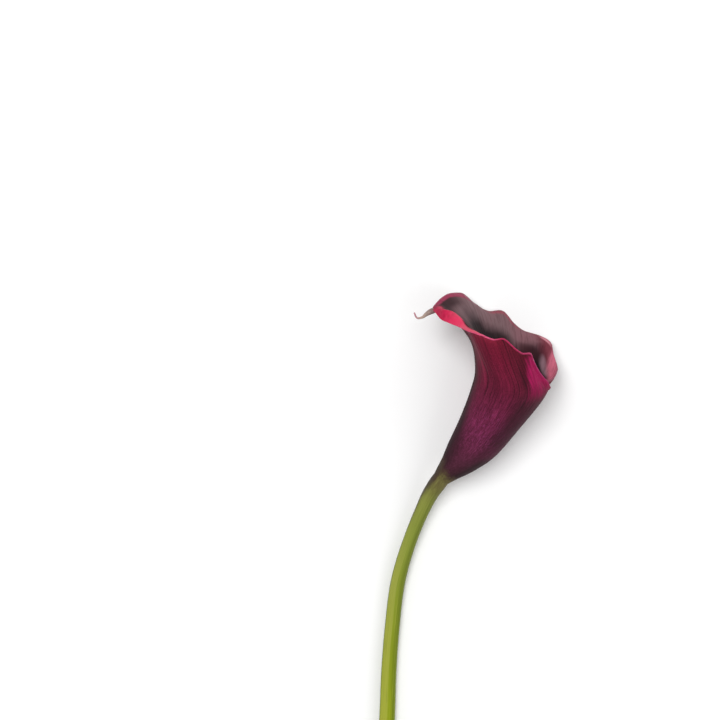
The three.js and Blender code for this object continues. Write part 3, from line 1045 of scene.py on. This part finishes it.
def addFlorets():
    # one small dome to a floret, in a spiral from the foot to the tip
    bpy.ops.object.select_all(action="DESELECT")
    bpy.ops.mesh.primitive_uv_sphere_add(segments=7, ring_count=5, radius=1)
    dome = bpy.context.active_object
    dots = readPoints(dome)
    n = np.arange(spadix["florets"])
    share = 1 - (1 - (n + 0.5) / spadix["florets"]) ** spadix["crowding"]
    spots, path, along, closing = spadixSkin(n * spadix["spiral"] % 1.0, share)
    lean = spadix["tipLean"] * (1 - closing)
    out = unit(spots - path + along * lean[:, None])
    side = unit(np.cross(along, out))
    ahead = np.cross(out, side)
    sizes = 1 + spadix["sizeSpread"] * np.sin(n * spadix["sizePace"])
    sizes = sizes * (spadix["tipSize"] + (1 - spadix["tipSize"]) * closing)
    sizes = sizes * np.where(share < spadix["greenShare"], spadix["greenSwell"], 1.0)
    florets = []
    for i in n:
        floret = dome.copy()
        floret.data = dome.data.copy()
        bpy.context.collection.objects.link(floret)
        shape = dots[:, [0]] * side[i] + dots[:, [1]] * ahead[i]
        shape = shape + dots[:, [2]] * out[i] * spadix["floretHeight"]
        movePoints(floret, toFrame(spots[i] + shape * sizes[i] * spadix["floretSize"]))
        florets.append(floret)
    bpy.data.objects.remove(dome)
    return florets


def buildSpadix():
    core, shares = addGrid("spadixCore", spadix["columns"], spadix["rows"])
    movePoints(core, toFrame(spadixSkin(shares[:, 0], shares[:, 1])[0]))
    closeTube(core)
    florets = addFlorets()
    pick(core)
    for floret in florets:
        floret.select_set(True)
    bpy.ops.object.join()
    core.name = "spadixFlorets"
    smooth(core)
    return core


def spadixPaint():
    paint = Paint("spadixFlorets", {"Roughness": 0.6})
    where = paint.place()
    start = sectionMiddle(spathe["sections"][0])
    end = spadixLine([spadix["length"]])[0]
    axis = (end - start) / np.dot(end - start, end - start)
    share = paint.dot(paint.vector("SUBTRACT", where, tuple(start)), axis)
    mottle = paint.noise(where, 0.9, 2.0)
    grain = paint.noise(where, 3.5, 2.0)
    colour = paint.ramp(share + (mottle - 0.5) * 0.2, spadix["colours"])
    colour = paint.mix(paint.rise(grain, 0.45, 0.75) * 0.5, colour, spadix["grain"])
    paint.feed("Base Color", colour)
    paint.feed("Normal", paint.bump(grain, 0.0001, 0.6))
    return paint.material


spike = buildSpadix()
cover(spike, spadixPaint())
stand(spike, "spadix")
print("spadix is built:", len(spike.data.polygons), "faces")


stem = {
    "columns": 64,
    "rows": 280,
    "cutSlant": 22.0,  # degrees
    "slantReach": 12.0,  # how far up from the cut the slant fades away
    "facetLow": math.cos(math.pi / 20),  # the CAD stem's flat sides touch the floor
    "intoSpathe": 1.3,  # how far its end reaches into the foot of the spathe
    # faint ridges: height, count round the stem, twist to a millimetre, start
    "ridges": [(0.035, 9, 0.01, 0.0), (0.03, 14, -0.006, 1.0)],
    "ridgesEnd": (12.0, 3.0),  # they fade between these distances from the top
    # x, y, radius, height of the underside
    "line": [
        (-29.1, -203, 4.1, 0),
        (-28.8, -172, 4.1, 0),
        (-28.0, -142, 4.05, 0),
        (-26.8, -120, 3.95, 0),
        (-25.9, -96.5, 3.85, 0),
        (-24.3, -75.5, 3.75, 0),
        (-20.9, -50, 3.65, 0.7),
        (-14.9, -30, 3.5, 2.3),
        (-9.2, -16, 3.65, 4.1),
        (-5.0, -7.4, 4.05, 5.7),
    ],
}


def stemRows():
    # distance along the stem, then what the line holds, on to the end inside the spathe
    bottom = spathe["sections"][0]
    radius = bottom[2]
    end = sectionMiddle(bottom)
    inner = end + sectionFrame(bottom)[1] * stem["intoSpathe"]
    low = radius * stem["facetLow"]
    last = [(*end[:2], radius, end[2] - low), (*inner[:2], radius - 0.1, inner[2] - low)]
    line = stem["line"] + last
    steps = [math.dist(a[:2], b[:2]) for a, b in zip(line, line[1:])]
    lengths = [0.0, *np.cumsum(steps)]
    return [(d, *row) for d, row in zip(lengths, line)]


def stemPath(rows, d):
    table = throughRows(rows, np.clip(d, 0, rows[-1][0]))
    height = table[:, 2] * stem["facetLow"] + np.maximum(0, table[:, 3])
    return np.column_stack([table[:, 0], table[:, 1], height]), table[:, 2]


def buildStem(skin, cutFace):
    piece, shares = addGrid("stemStalk", stem["columns"], stem["rows"])
    cover(piece, skin, cutFace)
    piece.data.uv_layers[0].name = "stemMap"
    rows = stemRows()
    length = rows[-1][0]
    d = shares[:, 1] * length
    path, radius = stemPath(rows, d)
    along = unit(stemPath(rows, d + 1)[0] - stemPath(rows, d - 1)[0])
    a = shares[:, 0] * math.tau
    first, last = stem["ridgesEnd"]
    ridges = waves(stem["ridges"], a, d) * (1 - blendIn(d, length - first, length - last))
    points = tubePoints(shares[:, 0], path, along, radius + ridges)
    slant = math.tan(math.radians(stem["cutSlant"])) * (1 - blendIn(d, 0, stem["slantReach"]))
    points += along * (np.sin(a) * radius * slant)[:, None]
    points[:, 2] = np.maximum(points[:, 2], 0)
    movePoints(piece, toFrame(points))
    closeTube(piece)
    for face in piece.data.polygons:
        if face.loop_total > 4:  # the closed ends
            face.material_index = 1
            face.use_smooth = False
    return piece


def stemPaint():
    paint = Paint("stemSkin", {"Specular IOR Level": 0.1})
    u, v = paint.ownMap("stemMap")
    angle = u * math.tau
    right, up = wave(angle), wave(angle - math.pi / 2)
    along = v * stemRows()[-1][0]

    def strands(across, lengthways, detail):
        spot = paint.point(right * across, up * across, along * lengthways)
        return paint.noise(spot, 1.0, detail)

    broad = strands(1.6, 0.012, 1.0)
    streak = strands(6.0, 0.035, 3.0)
    thread = strands(18.0, 0.09, 2.0)
    shift = (broad - 0.5) * 0.12 + (streak - 0.5) * 0.05
    pale = paint.ramp(v, stemLook["pale"])
    # a pale stripe on the left, a deep one ahead of it
    colour = paint.ramp(v, stemLook["skin"])
    left = u - 0.60 + shift
    stripe = paint.fall(left * left, 0.0, 0.012) * paint.rise(v, 0.7, 0.9, 0.62, 0.15)
    colour = paint.mix(stripe, colour, pale)
    ahead = u - 0.36 + shift
    stripe = paint.fall(ahead * ahead, 0.0, 0.014)
    colour = paint.mix(stripe * 0.7, colour, paint.ramp(v, stemLook["deep"]))
    # painted shade towards the floor on both sides, with pale and dark fibres
    rim = (u - 0.5) * (u - 0.5)
    colour = paint.mix(paint.rise(rim, 0.035, 0.062) * 0.5, colour, stemLook["edge"])
    colour = paint.mix(paint.rise(streak, 0.5, 0.72) * 0.3, colour, pale)
    colour = paint.mix(paint.rise(thread, 0.54, 0.72) * 0.28, colour, stemLook["edge"])
    # brown on the left flank near the foot, and painted shade in a slate band down the left
    # flank
    flank = paint.rise(u + shift, 0.6, 0.68) * paint.rise(v, 0.84, 0.95)
    colour = paint.mix(flank * 0.75, colour, foot["brown"])
    flank = paint.band(u, 0.66, 0.73, 0.74, 0.84)
    colour = paint.mix(flank * 0.5, colour, stemLook["shadeSlate"])
    purple = paint.ramp(footStreak(paint), stemLook["purple"])
    paint.feed("Base Color", footBlend(paint, colour, purple))
    paint.feed("Roughness", 0.38 + thread * 0.15)
    paint.feed("Normal", paint.bump(thread * 0.6 + streak * 0.5, 0.0001, 0.5))
    return paint.material


def cutPaint():
    # wet pale pith with a green skin ring and the dots of its bundles
    paint = Paint("stemCut", {"Roughness": 0.35})
    x, _, z = paint.split(paint.place())
    bottom = stem["line"][0]
    across, height = x - bottom[0], z - bottom[2] * stem["facetLow"]
    off = (across * across + height * height) ** 0.5
    where = paint.point(across, height)
    dots = paint.add("ShaderNodeTexVoronoi", sockets={"Vector": where, "Scale": 1.15})
    colour = paint.mix(paint.noise(where, 3.0, 2.0), *stemLook["pith"])
    colour = paint.mix(paint.rise(dots, 0.32, 0.16) * 0.6, colour, stemLook["bundles"])
    colour = paint.mix(paint.rise(off, 2.7, 3.7), colour, stemLook["ring"])
    paint.feed("Base Color", colour)
    paint.feed("Normal", paint.bump(dots, 0.0001, 0.6))
    return paint.material


stalk = buildStem(stemPaint(), cutPaint())
stand(stalk, "stem")
print("stem is built:", len(stalk.data.polygons), "faces")
